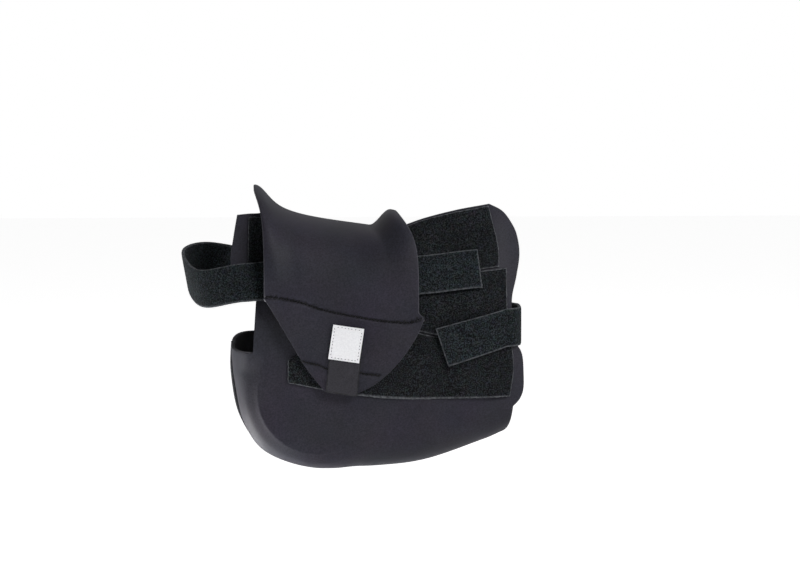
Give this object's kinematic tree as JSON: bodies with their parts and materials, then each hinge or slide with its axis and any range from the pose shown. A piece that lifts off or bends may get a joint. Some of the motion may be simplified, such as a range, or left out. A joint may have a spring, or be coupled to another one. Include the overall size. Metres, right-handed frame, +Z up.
{
  "type": "e-bike motor guard",
  "caption": "Soft neoprene guard that wraps a bicycle's mid motor from below and closes over the frame with hook-and-loop flap and straps.",
  "frame": {"origin": "on the crank axle of the motor that the guard wraps, midway between the crank arms", "axes": "+X to the rear wheel, +Y to the drive side, +Z up, with the guard as it sits on the bike"},
  "size_m": [0.2702, 0.1548, 0.2279],
  "materials": {
    "neoprene": "satin",
    "loop_pile": "matte",
    "strap": "matte",
    "hook_tape": "matte",
    "tab_webbing": "matte",
    "label": "matte"
  },
  "bodies": {
    "root": {"near_side_panel": "neoprene", "drive_side_panel": "neoprene", "front_ear": "neoprene", "rear_wing": "neoprene", "ear_loop_patch": "loop_pile", "upper_loop_patch": "loop_pile", "middle_loop_patch": "loop_pile", "lower_loop_patch": "loop_pile", "front_band": "strap", "front_band_hook_pad": "hook_tape", "rear_strap": "strap", "rear_strap_hook_pad": "hook_tape", "top_flap": "neoprene", "flap_tip": "neoprene", "flap_tip_hook_pad": "hook_tape", "pull_tab": "tab_webbing", "blank_label": "label"}
  },
  "joints": []
}
